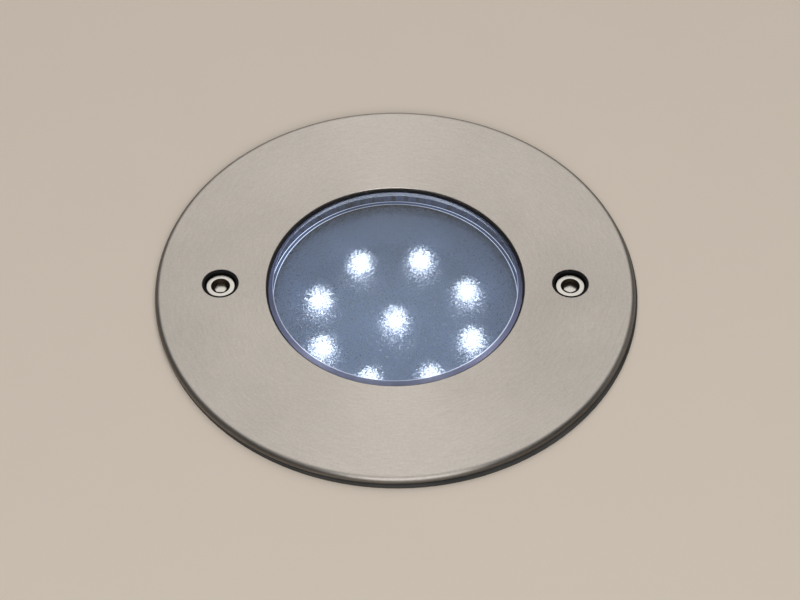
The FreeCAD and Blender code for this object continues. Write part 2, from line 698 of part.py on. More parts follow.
def make_ground_sleeve():
    """The sleeve: a ledge at its top, a shoulder for the collar, a tapered body with ribs, an open floor."""
    bottom_radius = sleeve_top_radius - SLEEVE_TAPER
    slope = SLEEVE_TAPER / (SLEEVE_DEPTH - COLLAR_HEIGHT)
    ledge_bottom = ledge_level - SLEEVE_WALL
    shoulder_bottom = collar_bottom - SHOULDER_THICKNESS
    shell = turned(
        (SLEEVE_OUTLET_RADIUS, sleeve_bottom),
        (bottom_radius, sleeve_bottom),
        (sleeve_top_radius, shoulder_bottom),
        (collar_radius, shoulder_bottom),
        (collar_radius, collar_bottom),
        (sleeve_top_radius, collar_bottom),
        (sleeve_top_radius, ledge_level),
        (ledge_radius, ledge_level),
        (ledge_radius, ledge_bottom),
        (bottom_radius - SLEEVE_WALL, sleeve_bottom + SLEEVE_FLOOR),
        (SLEEVE_OUTLET_RADIUS, sleeve_bottom + SLEEVE_FLOOR),
    )
    rib_top = shoulder_bottom - SLEEVE_RIB_GAP
    rib_bottom = sleeve_bottom + SLEEVE_RIB_GAP
    ribs = []
    for k in range(SLEEVE_RIB_COUNT):
        half = SLEEVE_RIB_THICKNESS / 2
        wall_top = sleeve_top_radius - SLEEVE_RIB_GAP * slope
        wall_bottom = bottom_radius + SLEEVE_RIB_GAP * slope
        profile = [
            at(wall_bottom - 1, -half, rib_bottom),
            at(wall_bottom + SLEEVE_RIB_REACH, -half, rib_bottom + SLEEVE_RIB_REACH),
            at(wall_top + SLEEVE_RIB_REACH, -half, rib_top - SLEEVE_RIB_REACH),
            at(wall_top - 1, -half, rib_top),
        ]
        rib = Part.Face(Part.makePolygon(profile + [profile[0]])).extrude(at(0, 2 * half, 0))
        rib.rotate(at(0, 0, 0), UP, 360 * (k + 0.5) / SLEEVE_RIB_COUNT)
        ribs.append(rib)
    shell = fused(shell, ribs)
    knockout_level = sleeve_bottom + KNOCKOUT_HEIGHT
    skin_radius = bottom_radius - SLEEVE_WALL + KNOCKOUT_SKIN + KNOCKOUT_HEIGHT * slope
    for side in (-1, 1):
        start = at(side * skin_radius, 0, knockout_level)
        outward = at(side, 0, 0)
        disc = Part.makeCylinder(KNOCKOUT_RADIUS, SLEEVE_WALL * 2, start, outward)
        core = Part.makeCylinder(KNOCKOUT_RADIUS - KNOCKOUT_GROOVE, SLEEVE_WALL * 2, start, outward)
        shell = shell.cut(disc.cut(core))
    return shell


def main():
    os.makedirs("parts", exist_ok=True)
    export("faceplate", [make_faceplate()])
    export("rim_gasket", [make_rim_gasket()])
    export("cover_frame", [make_cover_frame()])
    export("frame_nuts", make_frame_nuts())
    export("lens", [make_lens()])
    export("lens_gasket", [make_lens_gasket()])
    for side, socket_turn_deg in (("left", 0), ("right", 30)):
        export(f"{side}_screw", [make_screw(side, socket_turn_deg)])
        export(f"{side}_washer", [make_washer(side)])
        export(f"{side}_insert", [make_insert(side)])
    export("housing", [make_housing()])
    export("reflector", [make_reflector()])
    for number, (x, y) in enumerate(led_places):
        export(f"led_{number}" if number else "led_centre", [make_led(x, y)])
    export("led_board", [make_led_board()])
    export("board_screws", make_board_screws())
    export("board_spacers", make_board_spacers())
    export("driver_board", [make_driver_board()])
    export("capacitor", [make_capacitor()])
    export("inductor", [make_inductor()])
    export("rectifier", [make_rectifier()])
    export("resistors", make_resistors())
    export("board_link", [make_board_link()])
    export("terminal_block", [make_terminal_block()])
    export("terminal_screws", make_terminal_screws())
    export("gland_body", [make_gland_body()])
    export("gland_washer", [make_gland_washer()])
    export("gland_locknut", [make_gland_locknut()])
    export("gland_seal", [make_gland_seal()])
    export("gland_cap", [make_gland_cap()])
    export("flange_gasket", [make_flange_gasket()])
    export("sleeve_collar", [make_sleeve_collar()])
    export("ground_sleeve", [make_ground_sleeve()])


main()
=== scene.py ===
import bpy
import math
from mathutils import Matrix, Vector


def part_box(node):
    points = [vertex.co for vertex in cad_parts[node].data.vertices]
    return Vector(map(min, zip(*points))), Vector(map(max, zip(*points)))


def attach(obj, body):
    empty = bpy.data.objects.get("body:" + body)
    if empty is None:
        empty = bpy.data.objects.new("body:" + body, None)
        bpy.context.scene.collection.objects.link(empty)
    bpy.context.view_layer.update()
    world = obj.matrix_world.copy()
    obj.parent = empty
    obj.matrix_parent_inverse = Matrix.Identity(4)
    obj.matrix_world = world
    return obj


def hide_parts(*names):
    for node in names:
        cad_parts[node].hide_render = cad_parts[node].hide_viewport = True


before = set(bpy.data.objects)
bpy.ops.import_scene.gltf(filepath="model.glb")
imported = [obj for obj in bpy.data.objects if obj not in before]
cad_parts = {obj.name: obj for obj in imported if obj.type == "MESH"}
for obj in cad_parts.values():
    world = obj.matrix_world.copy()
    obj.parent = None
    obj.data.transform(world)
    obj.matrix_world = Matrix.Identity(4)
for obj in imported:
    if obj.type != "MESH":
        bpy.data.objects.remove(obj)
bpy.ops.object.select_all(action="DESELECT")
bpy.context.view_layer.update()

# ---- Camera: above and in front of the light, looking down at the cover plate at about fifty degrees.
CAMERA_PLACE = (0.00111, -0.34906, 0.41829)
CAMERA_AIM = (0.00111, -0.00314, 0.0)
CAMERA_LENS = 102.1
bpy.ops.object.camera_add(location=CAMERA_PLACE)
camera = bpy.context.object
camera.name = "camera"
camera.rotation_euler = (Vector(CAMERA_AIM) - camera.location).to_track_quat("-Z", "Y").to_euler()
camera.data.lens = CAMERA_LENS
camera.data.sensor_width = 36.0
camera.data.clip_start = 0.01
bpy.context.scene.camera = camera
bpy.context.scene.view_settings.view_transform = "Standard"
bpy.context.scene.view_settings.look = "None"

# ---- Setting: a thin pale board stands for the ground round the cut-out, with a plain floor far below it
# at the foot of the sleeve. Neither is part of the light.
MM = 0.001
BOARD_WIDTH = 260 * MM
BOARD_DEPTH = 230 * MM
BOARD_SHIFT = 5 * MM
BOARD_THICKNESS = 2.0 * MM
BOARD_TOP = -0.15 * MM
BOARD_HOLE_RADIUS = 53.4 * MM
HOLE_CUTTER_DEPTH = 10 * BOARD_THICKNESS
BOARD_COLOUR = (0.95, 0.83, 0.70)
FLOOR_SIZE = 6.0
FLOOR_LEVEL = -98.2 * MM
FLOOR_COLOUR = (0.78, 0.76, 0.73)
MOTTLE_SCALE = 35.0
MOTTLE_SHADE = 0.975


class Surface:
    """A procedural material in the making. Its methods add nodes and give back their outputs."""

    def __init__(self, name):
        self.material = bpy.data.materials.new(name)
        self.material.use_nodes = True
        self.nodes = self.material.node_tree.nodes
        self.links = self.material.node_tree.links
        self.shader = self.nodes["Principled BSDF"]
        self.place = self.nodes.new("ShaderNodeTexCoord").outputs["Object"]

    def fix(self, socket, value):
        """Sets one of the shader's sockets to the same value all over."""
        self.shader.inputs[socket].default_value = value

    def feed(self, socket, output):
        """Lets an output drive one of the shader's sockets."""
        self.links.new(output, self.shader.inputs[socket])

    def noise(self, scale, detail=2.0, roughness=0.5, place=None):
        """Cloudy noise from 0 to 1, at the piece's own coordinates if no others are given."""
        node = self.nodes.new("ShaderNodeTexNoise")
        node.inputs["Scale"].default_value = scale
        node.inputs["Detail"].default_value = detail
        node.inputs["Roughness"].default_value = roughness
        self.links.new(self.place if place is None else place, node.inputs["Vector"])
        return node.outputs["Fac"]

    def blend(self, driver, dark, light, start=0.0, end=1.0):
        """A colour that goes from dark to light as the driver goes from start to end."""
        node = self.nodes.new("ShaderNodeValToRGB")
        stops = node.color_ramp.elements
        stops[0].position, stops[1].position = start, end
        stops[0].color, stops[1].color = (*dark, 1), (*light, 1)
        self.links.new(driver, node.inputs["Fac"])
        return node.outputs["Color"]

    def spread(self, driver, low, high, start=0.0, end=1.0):
        """A value that goes from low to high as the driver goes from start to end, and stays there."""
        node = self.nodes.new("ShaderNodeMapRange")
        for socket, value in (("From Min", start), ("From Max", end), ("To Min", low), ("To Max", high)):
            node.inputs[socket].default_value = value
        self.links.new(driver, node.inputs["Value"])
        return node.outputs["Result"]

    def reckon(self, operation, *terms, kind="ShaderNodeMath", output="Value"):
        """Arithmetic on terms that are outputs or fixed values."""
        node = self.nodes.new(kind)
        node.operation = operation
        for socket, term in zip(node.inputs, terms):
            if isinstance(term, bpy.types.NodeSocket):
                self.links.new(term, socket)
            else:
                socket.default_value = term
        return node.outputs[output]

    def reckon_vector(self, operation, *terms):
        """The same on vectors; a length or a distance comes out as a value."""
        output = "Value" if operation in ("LENGTH", "DISTANCE") else "Vector"
        return self.reckon(operation, *terms, kind="ShaderNodeVectorMath", output=output)

    def scaled(self, vector, factor):
        """A vector or colour times a driven value."""
        node = self.nodes.new("ShaderNodeVectorMath")
        node.operation = "SCALE"
        self.links.new(vector, node.inputs[0])
        self.links.new(factor, node.inputs["Scale"])
        return node.outputs["Vector"]

    def axes(self, vector):
        """The three coordinates of a vector."""
        node = self.nodes.new("ShaderNodeSeparateXYZ")
        self.links.new(vector, node.inputs["Vector"])
        return node.outputs

    def emboss(self, height, strength, depth):
        """Fine relief that follows an output, up to a depth in metres."""
        node = self.nodes.new("ShaderNodeBump")
        node.inputs["Strength"].default_value = strength
        node.inputs["Distance"].default_value = depth
        self.links.new(height, node.inputs["Height"])
        self.feed("Normal", node.outputs["Normal"])


def plain_surface(name, colour, roughness):
    """A pale painted surface with a very faint mottle."""
    surface = Surface(name)
    shaded = [channel * MOTTLE_SHADE for channel in colour]
    surface.feed("Base Color", surface.blend(surface.noise(MOTTLE_SCALE, detail=3.0), shaded, colour))
    surface.fix("Roughness", roughness)
    return surface


bpy.ops.mesh.primitive_plane_add(size=1.0, location=(0, BOARD_SHIFT, BOARD_TOP))
board = bpy.context.object
board.name = "ground_board"
board.scale = (BOARD_WIDTH, BOARD_DEPTH, 1.0)
bpy.ops.object.transform_apply(location=True, rotation=True, scale=True)
bpy.ops.object.mode_set(mode="EDIT")
bpy.ops.mesh.extrude_region_move(TRANSFORM_OT_translate={"value": (0, 0, -BOARD_THICKNESS)})
bpy.ops.mesh.select_all(action="SELECT")
bpy.ops.mesh.normals_make_consistent(inside=False)
bpy.ops.object.mode_set(mode="OBJECT")
bpy.ops.mesh.primitive_cylinder_add(vertices=192, radius=BOARD_HOLE_RADIUS, depth=HOLE_CUTTER_DEPTH)
cut_out = bpy.context.object
hole = board.modifiers.new("cut_out", "BOOLEAN")
hole.object = cut_out
hole.operation = "DIFFERENCE"
bpy.context.view_layer.objects.active = board
bpy.ops.object.modifier_apply(modifier="cut_out")
bpy.data.objects.remove(cut_out)
board.data.materials.append(plain_surface("pale_board", BOARD_COLOUR, roughness=0.6).material)

bpy.ops.mesh.primitive_plane_add(size=FLOOR_SIZE, location=(0, 0, FLOOR_LEVEL))
floor = bpy.context.object
floor.name = "studio_floor"
bpy.ops.object.transform_apply(location=True)
floor.data.materials.append(plain_surface("studio_floor", FLOOR_COLOUR, roughness=0.7).material)

# ---- Light: a wide soft panel above the camera, a weak one high at the back, a faint one at each side, and
# the glow of a pale room that darkens towards its horizon and its sides, so that the plate's rim reads dark.
HORIZON_GLOW = 0.08
CEILING_GLOW = 0.55
CEILING_HEIGHT = 0.75
SIDE_SHADE = -1.2
world = bpy.data.worlds.new("pale_room")
bpy.context.scene.world = world
world.use_nodes = True
sky_nodes, sky_links = world.node_tree.nodes, world.node_tree.links
sky_place = sky_nodes.new("ShaderNodeTexCoord")
sky_split = sky_nodes.new("ShaderNodeSeparateXYZ")
sky_sides = sky_nodes.new("ShaderNodeMath")
sky_sides.operation = "ABSOLUTE"
sky_shade = sky_nodes.new("ShaderNodeMath")
sky_shade.operation = "MULTIPLY_ADD"
sky_shade.inputs[1].default_value = SIDE_SHADE
sky_ramp = sky_nodes.new("ShaderNodeValToRGB")
sky_ramp.color_ramp.elements[0].color = (HORIZON_GLOW, HORIZON_GLOW, HORIZON_GLOW, 1)
sky_ramp.color_ramp.elements[1].position = CEILING_HEIGHT
sky_ramp.color_ramp.elements[1].color = (CEILING_GLOW, CEILING_GLOW, CEILING_GLOW, 1)
sky_links.new(sky_place.outputs["Generated"], sky_split.inputs["Vector"])
sky_links.new(sky_split.outputs["X"], sky_sides.inputs[0])
sky_links.new(sky_sides.outputs["Value"], sky_shade.inputs[0])
sky_links.new(sky_split.outputs["Z"], sky_shade.inputs[2])
sky_links.new(sky_shade.outputs["Value"], sky_ramp.inputs["Fac"])
sky_links.new(sky_ramp.outputs["Color"], sky_nodes["Background"].inputs["Color"])
sky_nodes["Background"].inputs["Strength"].default_value = 1.0


def soft_panel(name, place, size, power, tint=(1.0, 1.0, 1.0)):
    """A square softbox aimed at the middle of the plate, with its size in metres and its power in watts."""
    bpy.ops.object.light_add(type="AREA", location=place)
    panel = bpy.context.object
    panel.name = name
    panel.rotation_euler = (-Vector(place)).to_track_quat("-Z", "Y").to_euler()
    panel.data.shape = "SQUARE"
    panel.data.size = size
    panel.data.energy = power
    panel.data.color = tint


soft_panel("back_panel", (0.0, 0.75, 0.95), size=0.9, power=1.5, tint=(1.0, 0.985, 0.96))
soft_panel("front_panel", (0.1, -0.9, 0.9), size=0.9, power=7.0)
soft_panel("left_panel", (-1.1, -0.3, 0.25), size=0.7, power=0.1)
soft_panel("right_panel", (1.1, 0.3, 0.25), size=0.7, power=0.35)


# ---- Ground sleeve and its collar: moulded black-grey polypropylene, a tapered tube with grip ribs and a
# plain ring pushed on its top. The surface keeps the fine spark-eroded texture of its mould.
FLOW_SCALE = 60.0
FLOW_RANGE = (0.3, 0.7)
GRAIN_GLOSS = 0.08
GRAIN_STRENGTH = 0.5


def moulded_plastic(name, dark, light, roughness, grain, relief):
    """Plastic as it leaves a textured mould: a fine even grain, with its relief in millimetres, and faint
    flow clouds in its colour."""
    surface = Surface(name)
    pits = surface.noise(grain)
    surface.colour = surface.blend(surface.noise(FLOW_SCALE, detail=4.0), dark, light, *FLOW_RANGE)
    surface.feed("Base Color", surface.colour)
    surface.feed("Roughness", surface.spread(pits, roughness - GRAIN_GLOSS, roughness + GRAIN_GLOSS))
    surface.emboss(pits, GRAIN_STRENGTH, relief * MM)
    return surface


def dress(node_name, surface):
    """Gives a piece of the construction its finish."""
    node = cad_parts[node_name]
    if not node.material_slots:
        node.data.materials.append(surface.material)
    for slot in node.material_slots:
        slot.material = surface.material


SLEEVE_DARK = (0.042, 0.043, 0.046)
SLEEVE_LIGHT = (0.062, 0.063, 0.067)
sleeve_plastic = moulded_plastic(
    "sleeve_plastic", SLEEVE_DARK, SLEEVE_LIGHT, roughness=0.5, grain=2500, relief=0.08
)
dress("ground_sleeve", sleeve_plastic)
dress("sleeve_collar", sleeve_plastic)

# ---- Housing: the die-cast aluminium pot with its fins and screw bosses, in a dark grey powder coat whose
# orange-peel surface is thinnest, and a little brighter, in places.
COAT_DARK = (0.085, 0.087, 0.090)
COAT_LIGHT = (0.13, 0.132, 0.135)
powder_coat = moulded_plastic(
    "cast_aluminium_coat", COAT_DARK, COAT_LIGHT, roughness=0.42, grain=900, relief=0.12
)
powder_coat.fix("Metallic", 0.35)
powder_coat.fix("Coat Weight", 0.15)
dress("housing", powder_coat)

# ---- Rubber seals: the flange gasket, the gland's washer and seal, the sealing washers under the screw heads
# and the U-shaped gasket round the glass. They are moulded black rubber, matt with a slight bloom.
RUBBER_DARK = (0.012, 0.012, 0.013)
RUBBER_LIGHT = (0.022, 0.022, 0.023)
rubber = moulded_plastic(
    "black_rubber", RUBBER_DARK, RUBBER_LIGHT, roughness=0.62, grain=1800, relief=0.05
)
rubber.fix("Specular IOR Level", 0.3)
for seal in ("flange_gasket", "gland_washer", "gland_seal", "left_washer", "right_washer", "lens_gasket"):
    dress(seal, rubber)

# ---- Rim gasket: a flat ring of closed-cell foam glued under the plate's rim, where it lies on the ground.
# It is dull and dark grey, with its cells showing as a coarse grain.
FOAM_DARK = (0.030, 0.030, 0.031)
FOAM_LIGHT = (0.075, 0.074, 0.072)
foam = moulded_plastic("rim_foam", FOAM_DARK, FOAM_LIGHT, roughness=0.9, grain=2200, relief=0.25)
dress("rim_gasket", foam)

# ---- Cable gland: body, dome nut and locknut under the pot, moulded in black glass-filled nylon with a satin
# skin. The body screws through the pot's floor and the locknut holds it from inside.
NYLON_DARK = (0.016, 0.016, 0.017)
NYLON_LIGHT = (0.030, 0.030, 0.031)
gland_nylon = moulded_plastic(
    "black_nylon", NYLON_DARK, NYLON_LIGHT, roughness=0.38, grain=1400, relief=0.04
)
for part in ("gland_body", "gland_cap", "gland_locknut"):
    dress(part, gland_nylon)


# ---- Brass: the thread inserts in the housing's bosses and the hexagon spacers between the boards, turned
# from bar, so fine tool rings run round each of them.
RING_WOBBLE = 1.5
RING_STRENGTH = 0.3
RING_RELIEF = 0.02 * MM
PATCH_SCALE = 220.0
PATCH_POLISH = 0.07
PATCH_WEAR = 0.10
BRASS_DARK = (0.62, 0.42, 0.18)
BRASS_LIGHT = (0.80, 0.60, 0.30)


def turned_metal(name, dark, light, roughness, ring_scale):
    """Machined metal: rings from the tool at one pitch along Z, and duller patches."""
    surface = Surface(name)
    rings = surface.nodes.new("ShaderNodeTexWave")
    rings.bands_direction = "Z"
    rings.inputs["Scale"].default_value = ring_scale
    rings.inputs["Distortion"].default_value = RING_WOBBLE
    surface.links.new(surface.place, rings.inputs["Vector"])
    patches = surface.noise(PATCH_SCALE)
    surface.feed("Base Color", surface.blend(patches, dark, light))
    surface.feed("Roughness", surface.spread(patches, roughness - PATCH_POLISH, roughness + PATCH_WEAR))
    surface.emboss(rings.outputs["Fac"], RING_STRENGTH, RING_RELIEF)
    surface.fix("Metallic", 1.0)
    return surface


brass = turned_metal("turned_brass", BRASS_DARK, BRASS_LIGHT, roughness=0.30, ring_scale=900)
for part in ("left_insert", "right_insert", "board_spacers"):
    dress(part, brass)

# ---- Zinc-plated steel: the board screws, the terminal's clamp screws and the nuts on the studs that are
# welded under the plate. Ordinary bought fasteners, bright grey with a soft sheen.
ZINC_DARK = (0.48, 0.49, 0.50)
ZINC_LIGHT = (0.66, 0.66, 0.66)
zinc = turned_metal("zinc_plate", ZINC_DARK, ZINC_LIGHT, roughness=0.32, ring_scale=1200)
for part in ("board_screws", "terminal_screws", "frame_nuts"):
    dress(part, zinc)

# ---- Boards and their parts: a white lamp board over a green driver board with its can capacitor, drum
# inductor, rectifier, three resistors, the pin link and the green two-way terminal. Each row gives the parts,
# the finish, its dark and light colour, roughness, grain and relief.
BLACK_DARK = (0.014, 0.014, 0.015)
BLACK_LIGHT = (0.028, 0.028, 0.030)
BOARD_FINISHES = (
    (("led_board",), "white_board", (0.70, 0.71, 0.70), (0.80, 0.81, 0.80), 0.35, 1500, 0.02),
    (("driver_board",), "green_board", (0.012, 0.11, 0.045), (0.020, 0.16, 0.070), 0.32, 1500, 0.02),
    (("capacitor",), "capacitor_sleeve", (0.020, 0.022, 0.050), (0.035, 0.038, 0.075), 0.25, 700, 0.01),
    (("inductor",), "ferrite", (0.030, 0.030, 0.033), (0.055, 0.055, 0.060), 0.6, 1800, 0.04),
    (("rectifier", "board_link"), "component_black", BLACK_DARK, BLACK_LIGHT, 0.4, 1500, 0.02),
    (("resistors",), "resistor_lacquer", (0.22, 0.32, 0.38), (0.32, 0.42, 0.47), 0.35, 1200, 0.03),
    (("terminal_block",), "terminal_green", (0.020, 0.20, 0.070), (0.035, 0.28, 0.11), 0.4, 1600, 0.03),
)
for parts, *finish in BOARD_FINISHES:
    board_finish = moulded_plastic(*finish)
    for part in parts:
        dress(part, board_finish)

# ---- Reflector: a satin plastic dish, vapour-finished pale blue-grey, that the lamps stand in. A pool of their
# light is painted into its colour: brighter in the middle, a little towards the front, thinning out up its
# wall.
DISH_DARK = (0.235, 0.32, 0.475)
DISH_LIGHT = (0.275, 0.37, 0.535)
PAINTED_POOL_CENTRE = (0.0, -10.0 * MM, 0.0)
PAINTED_POOL_START = 12.0 * MM
PAINTED_POOL_END = 38.0 * MM
PAINTED_POOL_BRIGHT = 1.5
PAINTED_POOL_DIM = 0.84
LEVEL_PLANE = (1.0, 1.0, 0.0)
dish = moulded_plastic(
    "reflector_satin_painted_pool", DISH_DARK, DISH_LIGHT, roughness=0.5, grain=1300, relief=0.03
)
# Painted light: the colour is brightened where the lamps' light would pool and dimmed up the wall.
flat_place = dish.reckon_vector("MULTIPLY", dish.place, LEVEL_PLANE)
from_painted_pool = dish.reckon_vector("DISTANCE", flat_place, PAINTED_POOL_CENTRE)
painted_pool = dish.spread(from_painted_pool, PAINTED_POOL_BRIGHT, PAINTED_POOL_DIM, PAINTED_POOL_START, PAINTED_POOL_END)
dish.feed("Base Color", dish.scaled(dish.colour, painted_pool))
dress("reflector", dish)

# ---- Lamps: nine 5 mm diodes with domed tops and a collar at the foot, cast in clear epoxy round a small
# chip under phosphor. The chip is the light; the epoxy glows faintly, most at the foot. Sizes are in
# millimetres from here on.
LED_RADIUS = 2.5
LED_COLLAR_RADIUS = 2.9
LED_COLLAR_HEIGHT = 1.0
LED_COLLAR_EDGE = 0.1
LED_COUNT = 9
CHIP_RADIUS = 0.45
CHIP_LEVEL = -15.6
CHIP_HEIGHT = 0.2
EPOXY_TINT = (0.92, 0.95, 1.0)
EPOXY_COLOUR = (0.80, 0.86, 1.0)
EPOXY_FOOT_GLOW = 0.6
EPOXY_SHOULDER_GLOW = 0.2
PHOSPHOR_COLOUR = (0.90, 0.93, 1.0)
PHOSPHOR_FOOT_GLOW = 2.7
PHOSPHOR_SHOULDER_GLOW = 4.8
GLOW_FOOT = -15.4
GLOW_SHOULDER = -12.5
GLASS_INDEX = 1.5
MERGE_GAP = 0.002
SMOOTH_ANGLE = math.radians(30)


def turned_piece(name, outline, steps):
    """Spins an outline of (radius, level) points in millimetres about the light's axis into a closed skin."""
    bpy.ops.mesh.primitive_plane_add(size=MM)
    piece = bpy.context.object
    piece.name = name
    bpy.ops.object.mode_set(mode="EDIT")
    bpy.ops.mesh.merge(type="CENTER")
    radius, level = outline[0]
    bpy.ops.transform.translate(value=(radius * MM, 0, level * MM))
    for next_radius, next_level in outline[1:]:
        step = ((next_radius - radius) * MM, 0, (next_level - level) * MM)
        bpy.ops.mesh.extrude_region_move(TRANSFORM_OT_translate={"value": step})
        radius, level = next_radius, next_level
    bpy.ops.mesh.select_all(action="SELECT")
    bpy.ops.mesh.spin(steps=steps, angle=2 * math.pi, center=(0, 0, 0), axis=(0, 0, 1))
    bpy.ops.mesh.select_all(action="SELECT")
    bpy.ops.mesh.remove_doubles(threshold=MERGE_GAP * MM)
    bpy.ops.mesh.normals_make_consistent(inside=False)
    bpy.ops.object.mode_set(mode="OBJECT")
    bpy.ops.object.shade_smooth_by_angle(angle=SMOOTH_ANGLE)
    return piece


def arc_points(centre_radius, centre_level, radius, start_deg, end_deg, count):
    """Points of a rounding in an outline, from one angle to the other."""
    points = []
    for k in range(count + 1):
        angle = math.radians(start_deg + (end_deg - start_deg) * k / count)
        points.append((centre_radius + radius * math.cos(angle), centre_level + radius * math.sin(angle)))
    return points


def lamp_material(name, colour, foot_glow, shoulder_glow, clearness):
    """Epoxy or phosphor: its glow changes from the reflector's floor to the shoulder of the dome."""
    surface = Surface(name)
    height = surface.axes(surface.place)["Z"]
    glow = surface.spread(height, foot_glow, shoulder_glow, GLOW_FOOT * MM, GLOW_SHOULDER * MM)
    surface.feed("Emission Strength", glow)
    surface.fix("Emission Color", (*colour, 1))
    surface.fix("Base Color", (*EPOXY_TINT, 1))
    surface.fix("Transmission Weight", clearness)
    surface.fix("IOR", GLASS_INDEX)
    surface.fix("Roughness", 0.08)
    return surface


epoxy = lamp_material("lit_epoxy", EPOXY_COLOUR, EPOXY_FOOT_GLOW, EPOXY_SHOULDER_GLOW, clearness=1.0)
phosphor = lamp_material(
    "lit_phosphor", PHOSPHOR_COLOUR, PHOSPHOR_FOOT_GLOW, PHOSPHOR_SHOULDER_GLOW, clearness=0.0
)
chip_outline = [(0, CHIP_LEVEL), (CHIP_RADIUS, CHIP_LEVEL)]
chip_outline += arc_points(0, CHIP_LEVEL + CHIP_HEIGHT, CHIP_RADIUS, 0, 90, count=8)
collar_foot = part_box("led_board")[1].z / MM
collar_top = collar_foot + LED_COLLAR_HEIGHT
for k in range(LED_COUNT):
    node_name = f"led_{k}" if k else "led_centre"
    low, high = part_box(node_name)
    centre = (low + high) / 2
    outline = [(0, collar_foot), (LED_COLLAR_RADIUS, collar_foot)]
    outline += [(LED_COLLAR_RADIUS, collar_top - LED_COLLAR_EDGE)]
    outline += [(LED_COLLAR_RADIUS - LED_COLLAR_EDGE, collar_top)]
    outline += [(LED_RADIUS, collar_top)]
    outline += arc_points(0, high.z / MM - LED_RADIUS, LED_RADIUS, 0, 90, count=12)
    chip = turned_piece("chip", chip_outline, steps=32)
    chip.data.materials.append(phosphor.material)
    lamp = turned_piece(f"lamp_{k}" if k else "lamp_centre", outline, steps=48)
    lamp.data.materials.append(epoxy.material)
    chip.select_set(True)
    bpy.ops.object.join()
    lamp.data.transform(Matrix.Translation((centre.x, centre.y, 0)))
    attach(lamp, "lamp")
    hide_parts(node_name)
    dress(node_name, epoxy)

# ---- Glass: a thick disc, turned with a step for its gasket. The top is polished, the bevel and the edge are
# ground, and the underside is frosted inside a lip, so that the lamps show as soft white spots. The edge,
# the lip, a line at the lip, the bevel and the arris carry a painted glow and painted highlights for the
# lamps' light gathered in the glass. The lip is opaque and painted dark blue in place of the black gasket
# seen through it.
lens_low, lens_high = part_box("lens")
GLASS_TOP = lens_high.z / MM
GLASS_BOTTOM = lens_low.z / MM
GLASS_FLANGE = lens_high.x / MM
GLASS_FLANGE_TOP = -2.6
FLANGE_EDGE = 0.2
GLASS_STEP = 30.4
FROST_EDGE = 28.9
LIP_EDGE = 29.9
LINE_WIDTH = 0.16
ARRIS = 0.14
ARRIS_DROP = ARRIS / 4
BEVEL = 1.0
FACE_MARGIN = 0.01
WALL_MARGIN = 0.1
LEVEL_NORMAL = 0.99
GLASS_TINT = (0.90, 0.95, 1.0)
FACETS_PER_METRE = 4400.0
SMEAR_SCALE = 90.0
SMEAR_GLOSS = 0.012
PAINTED_GLOW_DRIFT_SCALE = 28.0
PAINTED_GLOW_DRIFT_RANGE = (0.35, 0.65)
PAINTED_GLOW_DRIFT = (0.7, 1.4)
PAINTED_FLANK_GLOW = (0.55, 1.9)
PAINTED_FLANK_END = 20.0
PAINTED_DIM_SIDE_GLOW = 0.08
PAINTED_DIM_SIDE_END = -6.0
PAINTED_LIT_SIDE_START = 10.0
outline = [(0, GLASS_BOTTOM), (FROST_EDGE, GLASS_BOTTOM), (FROST_EDGE + LINE_WIDTH, GLASS_BOTTOM)]
outline += [(LIP_EDGE - LINE_WIDTH, GLASS_BOTTOM), (LIP_EDGE, GLASS_BOTTOM)]
outline += [(GLASS_FLANGE - FLANGE_EDGE, GLASS_BOTTOM), (GLASS_FLANGE, GLASS_BOTTOM + FLANGE_EDGE)]
outline += [(GLASS_FLANGE, GLASS_FLANGE_TOP - FLANGE_EDGE), (GLASS_FLANGE - FLANGE_EDGE, GLASS_FLANGE_TOP)]
outline += [(GLASS_STEP, GLASS_FLANGE_TOP), (GLASS_STEP, GLASS_TOP - BEVEL)]
outline += [(GLASS_STEP - BEVEL, GLASS_TOP - ARRIS_DROP), (GLASS_STEP - BEVEL - ARRIS, GLASS_TOP)]
outline += [(0, GLASS_TOP)]
glass = turned_piece("glass_disc", outline, steps=192)


